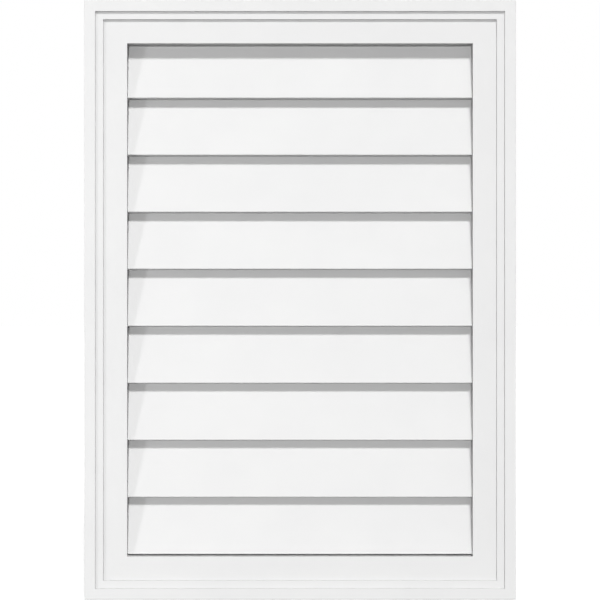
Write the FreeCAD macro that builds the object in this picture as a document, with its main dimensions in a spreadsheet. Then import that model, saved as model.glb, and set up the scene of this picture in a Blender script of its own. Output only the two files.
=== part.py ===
import FreeCAD, Part
import os
import re
import Sketcher

# A surface-mounted louvered gable vent, in millimetres.
# X runs to the right, Y into the wall and Z up. The wall is the plane Y = 0,
# and the origin is the middle of the frame's bottom edge on the wall.

doc = FreeCAD.newDocument("gable_vent")
sizes = doc.addObject("Spreadsheet::Sheet", "sizes")

driving_sizes = [
    ("overall_width", "512"),
    ("overall_height", "711.2"),
    ("frame_depth", "38.1"),
    ("frame_face", "50.5"),
    ("outer_band", "13.2"),
    ("middle_band", "9.2"),
    ("step_depth", "3.0"),
    ("outer_arris", "0.6"),
    ("inner_arris", "0.4"),
    ("rabbet_depth", "2.5"),
    ("rabbet_margin", "1.5"),
    ("blade_count", "9"),
    ("blade_thickness", "6.35"),
    ("blade_tilt", "11.3"),
    ("blade_lap", "4.5"),
    ("blade_arris", "0.5"),
    ("head_lap", "4.3"),
    ("head_gap", "0.3"),
    ("drain_gap", "2.1"),
    ("back_clearance", "1.8"),
    ("dado_depth", "6.35"),
    ("dado_clearance", "0.15"),
    ("end_clearance", "0.2"),
    ("gaps_across", "9"),
    ("gaps_up", "13"),
    ("strand_width", "1.6"),
    ("strand_thickness", "0.8"),
    ("staple_crown", "6"),
    ("staple_wire", "0.8"),
    ("staple_leg", "6"),
    ("slot_clearance", "0.1"),
    ("slot_wall", "1.2"),
]

derived_sizes = [
    ("opening_width", "=overall_width - 2 * frame_face"),
    ("opening_height", "=overall_height - 2 * frame_face"),
    # The blades share the opening's height. The head hides head_lap of the top one,
    # and the lowest one stops drain_gap above the sill so that rain can run out.
    ("blade_pitch", "=(opening_height + head_lap - drain_gap) / blade_count"),
    ("blade_width", "=(blade_pitch + blade_lap) / cos(blade_tilt)"),
    ("top_blade_width", "=(blade_pitch - head_lap - head_gap) / cos(blade_tilt)"),
    ("blade_length", "=opening_width + 2 * (dado_depth - end_clearance)"),
    ("blade_reach", "=blade_width * sin(blade_tilt) + blade_thickness * cos(blade_tilt)"),
    # Distance of every blade's front lower edge from the wall.
    ("blade_front", "=rabbet_depth + back_clearance + blade_reach"),
    ("lowest_edge", "=frame_face + drain_gap"),
    ("highest_edge", "=lowest_edge + (blade_count - 1) * blade_pitch"),
    ("dado_width", "=blade_thickness + 2 * dado_clearance"),
    # The screen's border strands run outside the dados, with room for the staples' legs.
    ("border_inset", "=dado_depth + slot_wall + staple_crown / 2"),
    ("rabbet_width", "=border_inset + staple_crown / 2 + rabbet_margin"),
    ("strand_pitch_across", "=(opening_width + 2 * border_inset) / gaps_across"),
    ("strand_pitch_up", "=(opening_height + 2 * border_inset) / gaps_up"),
    ("screen_width", "=opening_width + 2 * border_inset + strand_width"),
    ("screen_height", "=opening_height + 2 * border_inset + strand_width"),
    # A staple sits in every second gap along the border, starting in a corner gap.
    ("staples_across", "=floor((gaps_across + 1) / 2)"),
    ("staples_up", "=floor((gaps_up + 1) / 2)"),
    ("first_staple_across", "=(gaps_across - 1) / 2 * strand_pitch_across"),
    ("first_staple_up", "=(gaps_up - 1) / 2 * strand_pitch_up"),
    ("staple_span_across", "=2 * (staples_across - 1) * strand_pitch_across"),
    ("staple_span_up", "=2 * (staples_up - 1) * strand_pitch_up"),
]

for row, (name, text) in enumerate(driving_sizes + derived_sizes, start=1):
    sizes.set("A%d" % row, name)
    sizes.set("B%d" % row, text)
    sizes.setAlias("B%d" % row, name)
doc.recompute()


size_names = {name for name, text in driving_sizes + derived_sizes}


def sheet_name(word):
    return "sizes." + word if word in size_names else word


def bound(expression):
    """Writes an expression of plain size names as one that reads the sheet."""
    return re.sub("[a-z_]+", lambda word: sheet_name(word.group()), expression)


def value(expression):
    result = sizes.evalExpression(bound(expression))
    return float(getattr(result, "Value", result))


def new_body(label):
    body = doc.addObject("PartDesign::Body", label)
    body.Label = label
    return body


def origin_feature(body, role):
    return next(item for item in body.Origin.OriginFeatures if item.Role == role)


def place(body, rotation, x, y, z):
    base = FreeCAD.Vector(value(x), value(y), value(z))
    body.Placement = FreeCAD.Placement(base, rotation)
    body.setExpression("Placement.Base.x", bound(x))
    body.setExpression("Placement.Base.y", bound(y))
    body.setExpression("Placement.Base.z", bound(z))


def new_sketch(body, name, role, offset=None, turn=None):
    """Attaches a sketch to one of the body's planes, moved and turned within it."""
    sketch = body.newObject("Sketcher::SketchObject", name)
    sketch.AttachmentSupport = (origin_feature(body, role), [""])
    sketch.MapMode = "FlatFace"
    if offset:
        base = FreeCAD.Vector(value(offset[0]), value(offset[1]), value(offset[2]))
        angle = value(turn) if turn else 0
        rotation = FreeCAD.Rotation(FreeCAD.Vector(0, 0, 1), angle)
        sketch.AttachmentOffset = FreeCAD.Placement(base, rotation)
        sketch.setExpression("AttachmentOffset.Base.x", bound(offset[0]))
        sketch.setExpression("AttachmentOffset.Base.y", bound(offset[1]))
        sketch.setExpression("AttachmentOffset.Base.z", bound(offset[2]))
    if turn:
        sketch.setExpression("AttachmentOffset.Rotation.Angle", bound(turn))
    return sketch


def hold(sketch, kind, line, expression):
    """Fixes a line's start point by its distance from the sketch's origin."""
    axis = -2 if kind == "DistanceX" else -1
    if expression == "0":
        sketch.addConstraint(Sketcher.Constraint("PointOnObject", line, 1, axis))
        return
    number = value(expression)
    index = sketch.addConstraint(Sketcher.Constraint(kind, -1, 1, line, 1, number))
    sketch.setExpression("Constraints[%d]" % index, bound(expression))


def draw_outline(sketch, points):
    """Draws a closed outline whose corners follow the sheet."""
    corners = [FreeCAD.Vector(value(x), value(y), 0) for x, y in points]
    first = sketch.GeometryCount
    for index, start in enumerate(corners):
        end = corners[(index + 1) % len(corners)]
        sketch.addGeometry(Part.LineSegment(start, end), False)
    for index, (x, y) in enumerate(points):
        line = first + index
        after = first + (index + 1) % len(points)
        sketch.addConstraint(Sketcher.Constraint("Coincident", line, 2, after, 1))
        hold(sketch, "DistanceX", line, x)
        hold(sketch, "DistanceY", line, y)


def draw_rectangle(sketch, x0, y0, x1, y1):
    draw_outline(sketch, [(x0, y0), (x1, y0), (x1, y1), (x0, y1)])


def pad(body, sketch, name, length):
    feature = body.newObject("PartDesign::Pad", name)
    feature.Profile = sketch
    feature.Length = value(length)
    feature.setExpression("Length", bound(length))
    doc.recompute()
    return feature


def pocket(body, sketch, name, depth):
    feature = body.newObject("PartDesign::Pocket", name)
    feature.Profile = sketch
    feature.Length = value(depth)
    feature.setExpression("Length", bound(depth))
    doc.recompute()
    return feature


def ease(body, base, name, radius, midpoints):
    """Rounds the edges whose midpoints are given."""
    edges = []
    for number, edge in enumerate(base.Shape.Edges, start=1):
        for midpoint in midpoints:
            if edge.CenterOfMass.isEqual(midpoint, 0.001):
                edges.append("Edge%d" % number)
    feature = body.newObject("PartDesign::Fillet", name)
    feature.Base = (base, edges)
    feature.Radius = value(radius)
    feature.setExpression("Radius", bound(radius))
    doc.recompute()
    return feature


def set_pattern(feature, body, role, length, count, backwards=False):
    feature.Direction = (origin_feature(body, role), [""])
    feature.Reversed = backwards
    feature.Length = value(length)
    feature.setExpression("Length", bound(length))
    feature.Occurrences = int(round(value(count)))
    feature.setExpression("Occurrences", bound(count))


def repeat(body, original, name, length, count):
    """Repeats a feature along the body's Z axis."""
    feature = body.newObject("PartDesign::LinearPattern", name)
    feature.Originals = [original]
    set_pattern(feature, body, "Z_Axis", length, count)
    body.Tip = feature
    doc.recompute()
    return feature


def frame_piece(label, length, first_staple, staple_span, staple_count):
    """One mitred length of stepped moulding.

    In its own frame the section lies in XY, x from the outer edge towards the opening
    and y from the wall to the front, and the length runs along Z.
    """
    body = new_body(label)
    section = new_sketch(body, label + "_section", "XY_Plane")
    draw_outline(section, [
        ("0", "0"),
        ("frame_face - rabbet_width", "0"),
        ("frame_face - rabbet_width", "rabbet_depth"),
        ("frame_face", "rabbet_depth"),
        ("frame_face", "frame_depth - 2 * step_depth"),
        ("outer_band + middle_band", "frame_depth - 2 * step_depth"),
        ("outer_band + middle_band", "frame_depth - step_depth"),
        ("outer_band", "frame_depth - step_depth"),
        ("outer_band", "frame_depth"),
        ("0", "frame_depth"),
    ])
    moulding = pad(body, section, label + "_moulding", length)
    face = value("frame_face")
    front = value("frame_depth")
    step = value("step_depth")
    outer = value("outer_band")
    inner = value("outer_band + middle_band")
    middle = value(length) / 2
    outer_edge = FreeCAD.Vector(0, front, middle)
    inner_edges = [
        FreeCAD.Vector(outer, front, middle),
        FreeCAD.Vector(inner, front - step, middle),
        FreeCAD.Vector(face, front - 2 * step, middle),
    ]
    eased = ease(body, moulding, label + "_inner_edges", "inner_arris", inner_edges)
    ease(body, eased, label + "_outer_edge", "outer_arris", [outer_edge])

    mitres = new_sketch(body, label + "_mitre_lines", "XZ_Plane")
    draw_outline(mitres, [("0", "0"), ("frame_face", "0"), ("frame_face", "frame_face")])
    far_end = length + " - frame_face"
    draw_outline(mitres, [("0", length), ("frame_face", far_end), ("frame_face", length)])
    pocket(body, mitres, label + "_mitres", "frame_depth")

    outer_leg = "frame_face - border_inset - staple_crown / 2"
    inner_leg = "frame_face - border_inset + staple_crown / 2"
    legs = new_sketch(
        body, label + "_staple_legs", "XZ_Plane", ("0", "0", "-1 * rabbet_depth")
    )
    low = length + " / 2 - " + first_staple + " - staple_wire / 2 - slot_clearance"
    high = length + " / 2 - " + first_staple + " + staple_wire / 2 + slot_clearance"
    draw_rectangle(
        legs,
        outer_leg + " - slot_clearance", low,
        outer_leg + " + staple_wire + slot_clearance", high,
    )
    draw_rectangle(
        legs,
        inner_leg + " - staple_wire - slot_clearance", low,
        inner_leg + " + slot_clearance", high,
    )
    slots = pocket(body, legs, label + "_leg_slots", "staple_leg + slot_clearance")
    repeat(body, slots, label + "_slot_row", staple_span, staple_count)
    return body


def cut_dados(body, label, first_edge, top_edge, corner_across, corner_along, turn):
    """Cuts the stopped dados for the blade ends into a jamb's inner face.

    corner_across and corner_along lead from a blade's front lower edge to the corner
    of its dado from which the sketch starts.
    """
    across = "blade_front " + corner_across
    row = new_sketch(
        body, label + "_dado_outline", "YZ_Plane",
        (across, first_edge + corner_along, "frame_face"), turn,
    )
    draw_rectangle(row, "0", "0", "dado_width", "blade_width + 2 * dado_clearance")
    dado = pocket(body, row, label + "_dado", "dado_depth")
    repeat(body, dado, label + "_dado_row", "(blade_count - 2) * blade_pitch", "blade_count - 1")
    top = new_sketch(
        body, label + "_top_dado_outline", "YZ_Plane",
        (across, top_edge + corner_along, "frame_face"), turn,
    )
    draw_rectangle(top, "0", "0", "dado_width", "top_blade_width + 2 * dado_clearance")
    pocket(body, top, label + "_top_dado", "dado_depth")


def axes(x, y, z):
    return FreeCAD.Rotation(FreeCAD.Vector(*x), FreeCAD.Vector(*y), FreeCAD.Vector(*z), "XYZ")


upright = ("overall_height", "first_staple_up", "staple_span_up", "staples_up")
level = ("overall_width", "first_staple_across", "staple_span_across", "staples_across")

jamb_left = frame_piece("frame_jamb_left", *upright)
cut_dados(
    jamb_left, "frame_jamb_left",
    "overall_height - lowest_edge - (blade_count - 2) * blade_pitch",
    "overall_height - highest_edge",
    "+ dado_clearance * (cos(blade_tilt) + sin(blade_tilt))",
    " + dado_clearance * (cos(blade_tilt) - sin(blade_tilt))",
    "180 - blade_tilt",
)
place(
    jamb_left, axes((1, 0, 0), (0, -1, 0), (0, 0, -1)),
    "-1 * overall_width / 2", "0", "overall_height",
)

jamb_right = frame_piece("frame_jamb_right", *upright)
cut_dados(
    jamb_right, "frame_jamb_right", "lowest_edge", "highest_edge",
    "- (blade_thickness + dado_clearance) * cos(blade_tilt) + dado_clearance * sin(blade_tilt)",
    " - (blade_thickness + dado_clearance) * sin(blade_tilt) - dado_clearance * cos(blade_tilt)",
    "blade_tilt",
)
place(jamb_right, axes((-1, 0, 0), (0, -1, 0), (0, 0, 1)), "overall_width / 2", "0", "0")

head = frame_piece("frame_head", *level)
place(
    head, axes((0, 0, -1), (0, -1, 0), (-1, 0, 0)),
    "overall_width / 2", "0", "overall_height",
)

sill = frame_piece("frame_sill", *level)
place(sill, axes((0, 0, 1), (0, -1, 0), (1, 0, 0)), "-1 * overall_width / 2", "0", "0")

# The blades lean back at the top. The top one is ripped narrower to fit under the head.
blades = []
for number in range(1, int(round(value("blade_count"))) + 1):
    label = "louver_blade_%d" % number
    width = "top_blade_width" if number == 1 else "blade_width"
    blade = new_body(label)
    end = new_sketch(blade, label + "_end", "YZ_Plane")
    draw_rectangle(end, "0", "0", "blade_thickness", width)
    board = pad(blade, end, label + "_board", "blade_length")
    middle = value("blade_length") / 2
    thickness = value("blade_thickness")
    long_edges = [
        FreeCAD.Vector(middle, 0, 0),
        FreeCAD.Vector(middle, thickness, 0),
        FreeCAD.Vector(middle, 0, value(width)),
        FreeCAD.Vector(middle, thickness, value(width)),
    ]
    ease(blade, board, label + "_edges", "blade_arris", long_edges)
    tilt = FreeCAD.Rotation(FreeCAD.Vector(-1, 0, 0), value("blade_tilt"))
    place(
        blade, tilt, "-1 * blade_length / 2", "-1 * blade_front",
        "highest_edge - %d * blade_pitch" % (number - 1),
    )
    blade.setExpression("Placement.Rotation.Angle", bound("blade_tilt"))
    blades.append(blade)

# The screen is a lattice of crossing strands, far coarser than the real mesh.
screen = new_body("insect_screen")
warp = new_sketch(screen, "screen_upright_strand", "XZ_Plane")
draw_rectangle(warp, "0", "0", "strand_width", "screen_height")
warp_strand = pad(screen, warp, "screen_upright", "strand_thickness")
warp_row = screen.newObject("PartDesign::LinearPattern", "screen_uprights")
warp_row.Originals = [warp_strand]
set_pattern(warp_row, screen, "X_Axis", "gaps_across * strand_pitch_across", "gaps_across + 1")
screen.Tip = warp_row
weft = new_sketch(screen, "screen_level_strand", "XZ_Plane")
draw_rectangle(weft, "0", "0", "screen_width", "strand_width")
weft_strand = pad(screen, weft, "screen_level", "strand_thickness")
repeat(screen, weft_strand, "screen_levels", "gaps_up * strand_pitch_up", "gaps_up + 1")
place(
    screen, FreeCAD.Rotation(),
    "-1 * screen_width / 2", "strand_thickness - rabbet_depth",
    "overall_height / 2 - screen_height / 2",
)

# The staples straddle the screen's border strands. One body holds them all as
# separate solids, measured from the middle of the screen and the tips of the legs.
staples = new_body("screen_staples")
staples.AllowCompound = True


def staple_row(name, plane, offset, half_opening, mirror, axis, span, count, swap):
    """A row of staples along one side of the screen and its mirror image opposite."""
    left = half_opening + " + border_inset - staple_crown / 2"
    right = half_opening + " + border_inset + staple_crown / 2"
    under = "staple_leg + strand_thickness"
    over = "staple_leg + strand_thickness + staple_wire"
    outline = [
        (left, "0"),
        (left + " + staple_wire", "0"),
        (left + " + staple_wire", under),
        (right + " - staple_wire", under),
        (right + " - staple_wire", "0"),
        (right, "0"),
        (right, over),
        (left, over),
    ]
    sketch = new_sketch(staples, name + "_outline", plane, ("0", "0", offset))
    draw_outline(sketch, [(b, a) for a, b in outline] if swap else outline)
    staple = pad(staples, sketch, name, "staple_wire")
    row = doc.addObject("PartDesign::LinearPattern", name + "_row")
    set_pattern(row, staples, axis, span, count, True)
    opposite = doc.addObject("PartDesign::Mirrored", name + "_opposite")
    opposite.MirrorPlane = (origin_feature(staples, mirror), [""])
    both = staples.newObject("PartDesign::MultiTransform", name + "_rows")
    both.Originals = [staple]
    both.Transformations = [row, opposite]
    staples.Tip = both
    doc.recompute()


staple_row(
    "side_staple", "XY_Plane", "first_staple_up - staple_wire / 2", "opening_width / 2",
    "YZ_Plane", "Z_Axis", "staple_span_up", "staples_up", False,
)
staple_row(
    "end_staple", "YZ_Plane", "first_staple_across - staple_wire / 2", "opening_height / 2",
    "XY_Plane", "X_Axis", "staple_span_across", "staples_across", True,
)
place(
    staples, FreeCAD.Rotation(),
    "0", "-1 * (rabbet_depth + staple_leg)", "overall_height / 2",
)

doc.recompute()
nodes = [head, sill, jamb_left, jamb_right] + blades + [screen, staples]
for item in doc.Objects:
    if "Invalid" in item.State or "Error" in item.State:
        raise RuntimeError("%s did not build: %s" % (item.Label, item.State))
for node in nodes:
    if node.Shape.isNull() or not node.Shape.isValid() or not node.Shape.Solids:
        raise RuntimeError("%s has no sound solid" % node.Label)

os.makedirs("parts", exist_ok=True)
for node in nodes:
    node.Shape.exportStep("parts/%s.step" % node.Label)
    print(node.Label, len(node.Shape.Solids), round(node.Shape.Volume, 1))
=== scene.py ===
import math

import bpy
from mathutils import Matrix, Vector


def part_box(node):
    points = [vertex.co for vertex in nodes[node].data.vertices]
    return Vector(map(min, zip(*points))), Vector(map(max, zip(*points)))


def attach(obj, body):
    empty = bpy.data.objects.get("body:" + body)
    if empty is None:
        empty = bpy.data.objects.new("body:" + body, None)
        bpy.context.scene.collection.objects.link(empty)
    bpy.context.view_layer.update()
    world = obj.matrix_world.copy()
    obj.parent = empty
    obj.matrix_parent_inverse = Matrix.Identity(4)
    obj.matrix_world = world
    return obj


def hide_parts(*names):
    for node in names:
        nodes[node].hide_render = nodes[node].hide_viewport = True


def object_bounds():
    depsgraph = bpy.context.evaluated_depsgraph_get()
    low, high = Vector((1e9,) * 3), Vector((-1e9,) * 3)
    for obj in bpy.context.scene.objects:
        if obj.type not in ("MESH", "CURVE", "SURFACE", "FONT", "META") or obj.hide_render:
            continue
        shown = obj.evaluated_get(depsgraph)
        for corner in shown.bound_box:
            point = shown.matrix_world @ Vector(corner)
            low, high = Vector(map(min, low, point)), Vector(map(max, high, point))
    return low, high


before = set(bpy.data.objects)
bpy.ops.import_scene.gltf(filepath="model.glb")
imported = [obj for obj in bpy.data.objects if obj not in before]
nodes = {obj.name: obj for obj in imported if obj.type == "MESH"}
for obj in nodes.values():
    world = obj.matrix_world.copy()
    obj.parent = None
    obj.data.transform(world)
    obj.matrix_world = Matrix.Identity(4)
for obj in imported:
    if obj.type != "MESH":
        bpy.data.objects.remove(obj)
cad_low, cad_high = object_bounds()
scene = bpy.context.scene
MM = 0.001
X_AXIS = Vector((1, 0, 0))
Y_AXIS = Vector((0, 1, 0))
Z_AXIS = Vector((0, 0, 1))

# How a texture is scaled along X, Y and Z. A small factor draws it out into streaks.
EVEN = (1, 1, 1)
STREAKS_ALONG_X = (0.02, 1, 1)
STREAKS_ALONG_Z = (1, 1, 0.02)

# The part of a texture's range over which its colour changes.
RAMP_START = 0.3
RAMP_END = 0.7

# The fine mesh has about 18 by 16 strands to the inch and runs a little past the CAD lattice.
STRAND_SIDES = 6
STRAND_RADIUS = 0.16 * MM
LAYER_OFFSET = 0.13 * MM
PITCH_ACROSS = 1.41 * MM
PITCH_UP = 1.59 * MM
MESH_BORDER = 3.0 * MM

CAMERA_DISTANCE = 1.96
SENSOR_WIDTH = 36
SUN_DISTANCE = 3

# The floor's own glow rises to white between two distances from the vent's foot.
FLOOR_REACH = 20
FLOOR_DROP = 0.5 * MM
GLOW_STARTS = 0.6
GLOW_ENDS = 1.6
GLOW_NEAR = 0.74
GLOW_FAR = 1.0


def grey(level):
    return (level, level, level, 1)


def empty_tree(owner):
    """Turns on the nodes of a material or world and clears them."""
    owner.use_nodes = True
    owner.node_tree.nodes.clear()
    return owner.node_tree


def new_material(name):
    """An empty node material with its output and a Principled shader joined up."""
    material = bpy.data.materials.new(name)
    tree = empty_tree(material)
    output = tree.nodes.new("ShaderNodeOutputMaterial")
    shader = tree.nodes.new("ShaderNodeBsdfPrincipled")
    tree.links.new(shader.outputs["BSDF"], output.inputs["Surface"])
    return material, tree, shader


def noise(tree, stretch, scale, detail):
    """Noise in the part's own coordinates, stretched by the three factors given."""
    place = tree.nodes.new("ShaderNodeTexCoord")
    mapping = tree.nodes.new("ShaderNodeMapping")
    mapping.inputs["Scale"].default_value = stretch
    texture = tree.nodes.new("ShaderNodeTexNoise")
    texture.inputs["Scale"].default_value = scale
    texture.inputs["Detail"].default_value = detail
    tree.links.new(place.outputs["Object"], mapping.inputs["Vector"])
    tree.links.new(mapping.outputs["Vector"], texture.inputs["Vector"])
    return texture


def ramp(tree, source, dark, light):
    """Turns a texture into colours between two ends."""
    node = tree.nodes.new("ShaderNodeValToRGB")
    node.color_ramp.elements[0].position = RAMP_START
    node.color_ramp.elements[1].position = RAMP_END
    node.color_ramp.elements[0].color = (*dark, 1)
    node.color_ramp.elements[1].color = (*light, 1)
    tree.links.new(source.outputs["Fac"], node.inputs["Fac"])
    return node


def spread(tree, source, low, high):
    """Turns a texture into numbers between two ends."""
    node = tree.nodes.new("ShaderNodeMapRange")
    node.inputs["To Min"].default_value = low
    node.inputs["To Max"].default_value = high
    tree.links.new(source.outputs["Fac"], node.inputs["Value"])
    return node


def bump(tree, source, strength, distance, below=None):
    """Turns a texture into relief, laid over the relief below it if there is one."""
    node = tree.nodes.new("ShaderNodeBump")
    node.inputs["Strength"].default_value = strength
    node.inputs["Distance"].default_value = distance
    tree.links.new(source.outputs["Fac"], node.inputs["Height"])
    if below:
        tree.links.new(below.outputs["Normal"], node.inputs["Normal"])
    return node


def finish(tree, shader, tint, rough, relief=None):
    """Joins colour, roughness and relief to the shader."""
    tree.links.new(tint.outputs["Color"], shader.inputs["Base Color"])
    tree.links.new(rough.outputs["Result"], shader.inputs["Roughness"])
    if relief:
        tree.links.new(relief.outputs["Normal"], shader.inputs["Normal"])


def white_pvc(name, stretch, tone):
    """Satin cellular PVC board: even white, faint milling streaks along the board and a fine skin."""
    material, tree, shader = new_material(name)
    streak = noise(tree, stretch, scale=420, detail=3)
    mottle = noise(tree, EVEN, scale=14, detail=4)
    skin = noise(tree, EVEN, scale=2600, detail=2)
    mottling = 0.012
    warmth = 0.002
    dark = tone - mottling
    light = tone + mottling
    tint = ramp(tree, mottle, (dark, dark, dark), (light, light, light - warmth))
    rough = spread(tree, streak, low=0.58, high=0.70)
    grain = bump(tree, streak, strength=0.10, distance=0.04 * MM)
    relief = bump(tree, skin, strength=0.12, distance=0.05 * MM, below=grain)
    finish(tree, shader, tint, rough, relief)
    shader.inputs["IOR"].default_value = 1.46
    return material


def coated_mesh():
    """Charcoal vinyl on fibreglass strands."""
    material, tree, shader = new_material("screen_mesh_vinyl")
    fleck = noise(tree, EVEN, scale=700, detail=3)
    tint = ramp(tree, fleck, (0.030, 0.031, 0.033), (0.052, 0.053, 0.056))
    rough = spread(tree, fleck, low=0.45, high=0.65)
    finish(tree, shader, tint, rough)
    return material


def staple_steel():
    """Galvanised wire with a fine spangle."""
    material, tree, shader = new_material("staple_steel")
    spangle = noise(tree, EVEN, scale=1800, detail=4)
    tint = ramp(tree, spangle, (0.42, 0.43, 0.44), (0.62, 0.63, 0.64))
    rough = spread(tree, spangle, low=0.28, high=0.48)
    relief = bump(tree, spangle, strength=0.15, distance=0.03 * MM)
    finish(tree, shader, tint, rough, relief)
    shader.inputs["Metallic"].default_value = 1.0
    return material


def dress(obj, material):
    """Gives a piece its material."""
    obj.data.materials.clear()
    obj.data.materials.append(material)


# Blades and frame are one white board in two tones. Each tone is set so that part renders as bright as
# it should under these lamps, so the difference between them is painted shade, not a real difference in
# the board.
blade_pvc = white_pvc("white_pvc_blade", STREAKS_ALONG_X, tone=0.83)
rail_pvc = white_pvc("white_pvc_rail", STREAKS_ALONG_X, tone=0.84)
jamb_pvc = white_pvc("white_pvc_jamb", STREAKS_ALONG_Z, tone=0.84)
for name, obj in nodes.items():
    if name.startswith("frame_jamb"):
        dress(obj, jamb_pvc)
    elif name.startswith("frame_"):
        dress(obj, rail_pvc)
    elif name.startswith("louver_"):
        dress(obj, blade_pvc)
dress(nodes["screen_staples"], staple_steel())


def add_strand(vertices, faces, start, end, across, out):
    """Adds a straight strand from start to end. Its section lies along across and out."""
    base = len(vertices)
    far = base + STRAND_SIDES
    ring = []
    for corner in range(STRAND_SIDES):
        angle = math.radians(360 / STRAND_SIDES * corner)
        ring.append(across * (STRAND_RADIUS * math.cos(angle)) + out * (STRAND_RADIUS * math.sin(angle)))
    vertices.extend(start + point for point in ring)
    vertices.extend(end + point for point in ring)
    for corner in range(STRAND_SIDES):
        after = (corner + 1) % STRAND_SIDES
        faces.append((base + corner, base + after, far + after, far + corner))
    faces.append(tuple(base + corner for corner in reversed(range(STRAND_SIDES))))
    faces.append(tuple(far + corner for corner in range(STRAND_SIDES)))


def spaced(start, end, pitch):
    """Places from start to end, evenly spaced at about the pitch."""
    count = round((end - start) / pitch)
    return [start + (end - start) * index / count for index in range(count + 1)]


def insect_mesh():
    """The fine mesh: upright strands with level strands lying on them, cut to fit the rabbet."""
    low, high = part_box("insect_screen")
    left, right = low.x - MESH_BORDER, high.x + MESH_BORDER
    bottom, top = low.z - MESH_BORDER, high.z + MESH_BORDER
    middle = (low.y + high.y) / 2
    front, back = middle - LAYER_OFFSET, middle + LAYER_OFFSET
    vertices, faces = [], []
    for x in spaced(left, right, PITCH_ACROSS):
        add_strand(vertices, faces, Vector((x, front, bottom)), Vector((x, front, top)), X_AXIS, Y_AXIS)
    for z in spaced(bottom, top, PITCH_UP):
        add_strand(vertices, faces, Vector((left, back, z)), Vector((right, back, z)), Y_AXIS, Z_AXIS)
    data = bpy.data.meshes.new("screen_fine_mesh")
    data.from_pydata(vertices, [], faces)
    data.update()
    obj = bpy.data.objects.new("screen_fine_mesh", data)
    scene.collection.objects.link(obj)
    dress(obj, coated_mesh())
    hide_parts("insect_screen")
    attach(obj, "root")


insect_mesh()

# The camera stands level with the vent's middle and square to it, and the vent's
# front fills the height of the picture.
vent_height = cad_high.z - cad_low.z
camera = bpy.data.objects.new("camera", bpy.data.cameras.new("camera"))
camera.data.sensor_width = SENSOR_WIDTH
camera.data.lens = SENSOR_WIDTH * CAMERA_DISTANCE / vent_height
camera.location = (0, cad_low.y - CAMERA_DISTANCE, cad_low.z + vent_height / 2)
camera.rotation_euler = (math.radians(90), 0, 0)
scene.collection.objects.link(camera)
scene.camera = camera


def aim(lamp, azimuth, elevation, away):
    """Turns a lamp to the vent's middle. Azimuth 0 is the camera's side and 90 the right."""
    a, e = math.radians(azimuth), math.radians(elevation)
    towards = Vector((math.sin(a) * math.cos(e), -math.cos(a) * math.cos(e), math.sin(e)))
    lamp.location = (cad_low + cad_high) / 2 + towards * away
    lamp.rotation_euler = towards.to_track_quat("Z", "Y").to_euler()
    scene.collection.objects.link(lamp)


def limit(data, bounces):
    """Sets how often a lamp's light goes on from one white face to the next.

    The photograph's corners are dark, so it goes on once at most. A lamp limited in
    this way keeps its full strength only without multiple importance sampling.
    """
    data.cycles.max_bounces = bounces
    data.cycles.use_multiple_importance_sampling = False


def softbox(name, azimuth, elevation, away, strength, softness, bounces):
    """A round soft box that gives the vent's middle the same light as a sun of that strength.

    Softness is the angle in degrees that the box fills, seen from the vent.
    """
    data = bpy.data.lights.new(name, "AREA")
    data.shape = "DISK"
    data.size = 2 * away * math.tan(math.radians(softness / 2))
    data.energy = strength * math.pi * away * away
    limit(data, bounces)
    aim(bpy.data.objects.new(name, data), azimuth, elevation, away)


def sun(name, azimuth, elevation, strength, softness):
    """A wide sun from below or behind. Its light doesn't go on, so none comes out between the blades."""
    data = bpy.data.lights.new(name, "SUN")
    data.energy = strength
    data.angle = math.radians(softness)
    limit(data, bounces=0)
    aim(bpy.data.objects.new(name, data), azimuth, elevation, SUN_DISTANCE)


softbox("key", azimuth=7, elevation=44, away=30, strength=2.03, softness=8, bounces=1)
softbox("fill", azimuth=-51, elevation=0, away=2, strength=0.46, softness=7, bounces=0)
softbox("front", azimuth=0, elevation=0, away=30, strength=0.94, softness=8, bounces=0)
sun("off_floor", azimuth=0, elevation=-35, strength=0.22, softness=60)
sun("back_left", azimuth=230, elevation=0, strength=1.7, softness=20)
sun("back_right", azimuth=130, elevation=0, strength=1.7, softness=20)


def backdrop(tree, seen, unseen):
    """Mixes two shaders: one that the camera and reflections see, and one that lights the vent."""
    path = tree.nodes.new("ShaderNodeLightPath")
    looks = path.outputs["Is Camera Ray"]
    for ray in ("Is Glossy Ray", "Is Transmission Ray"):
        either = tree.nodes.new("ShaderNodeMath")
        either.operation = "MAXIMUM"
        tree.links.new(looks, either.inputs[0])
        tree.links.new(path.outputs[ray], either.inputs[1])
        looks = either.outputs["Value"]
    mix = tree.nodes.new("ShaderNodeMixShader")
    tree.links.new(looks, mix.inputs["Fac"])
    tree.links.new(unseen.outputs[0], mix.inputs[1])
    tree.links.new(seen.outputs[0], mix.inputs[2])
    return mix


def background(tree, strength):
    node = tree.nodes.new("ShaderNodeBackground")
    node.inputs["Color"].default_value = grey(1)
    node.inputs["Strength"].default_value = strength
    return node


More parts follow.
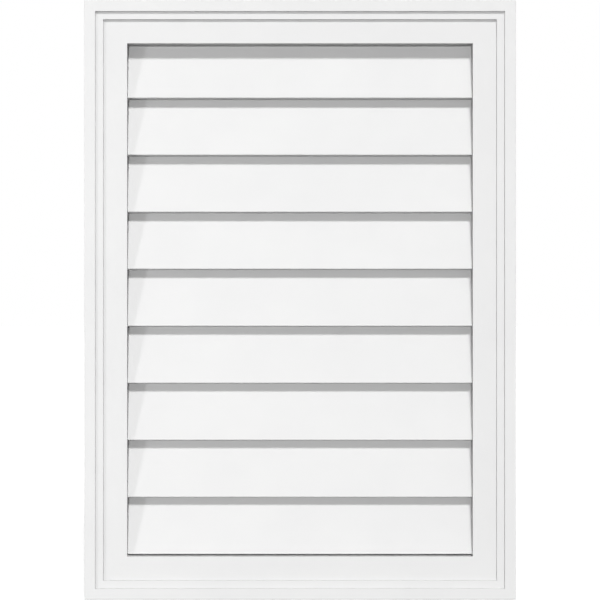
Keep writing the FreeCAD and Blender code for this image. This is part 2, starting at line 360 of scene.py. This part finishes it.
def studio():
    """A world that looks white and hardly lights the vent."""
    scene.world = bpy.data.worlds.new("studio")
    tree = empty_tree(scene.world)
    white = background(tree, strength=1.0)
    dim = background(tree, strength=0.02)
    output = tree.nodes.new("ShaderNodeOutputWorld")
    tree.links.new(backdrop(tree, white, dim).outputs[0], output.inputs["Surface"])


studio()


def diffuse(tree, level):
    node = tree.nodes.new("ShaderNodeBsdfDiffuse")
    node.inputs["Color"].default_value = grey(level)
    return node


def floor_paint():
    """Pale paint with a glow of its own, which is plain and duller where it lights the vent."""
    material = bpy.data.materials.new("floor")
    tree = empty_tree(material)
    place = tree.nodes.new("ShaderNodeTexCoord")
    away = tree.nodes.new("ShaderNodeVectorMath")
    away.operation = "LENGTH"
    fade = tree.nodes.new("ShaderNodeMapRange")
    fade.inputs["From Min"].default_value = GLOW_STARTS
    fade.inputs["From Max"].default_value = GLOW_ENDS
    fade.inputs["To Min"].default_value = GLOW_NEAR
    fade.inputs["To Max"].default_value = GLOW_FAR
    glow = tree.nodes.new("ShaderNodeEmission")
    tree.links.new(place.outputs["Object"], away.inputs[0])
    tree.links.new(away.outputs["Value"], fade.inputs["Value"])
    tree.links.new(fade.outputs["Result"], glow.inputs["Strength"])
    pale = tree.nodes.new("ShaderNodeAddShader")
    tree.links.new(diffuse(tree, level=0.8).outputs[0], pale.inputs[0])
    tree.links.new(glow.outputs[0], pale.inputs[1])
    dull = diffuse(tree, level=0.28)
    output = tree.nodes.new("ShaderNodeOutputMaterial")
    tree.links.new(backdrop(tree, pale, dull).outputs[0], output.inputs["Surface"])
    return material


def floor():
    """A pale floor that looks white where it is lit and keeps the part's shadow."""
    data = bpy.data.meshes.new("floor")
    level = cad_low.z - FLOOR_DROP
    signs = [(-1, -1), (1, -1), (1, 1), (-1, 1)]
    corners = [(x * FLOOR_REACH, y * FLOOR_REACH, level) for x, y in signs]
    data.from_pydata(corners, [], [(0, 1, 2, 3)])
    data.materials.append(floor_paint())
    obj = bpy.data.objects.new("floor", data)
    scene.collection.objects.link(obj)
    # It casts no shadow itself, because the off_floor lamp shines up from below it.
    obj.visible_shadow = False


floor()

scene.view_settings.view_transform = "Standard"
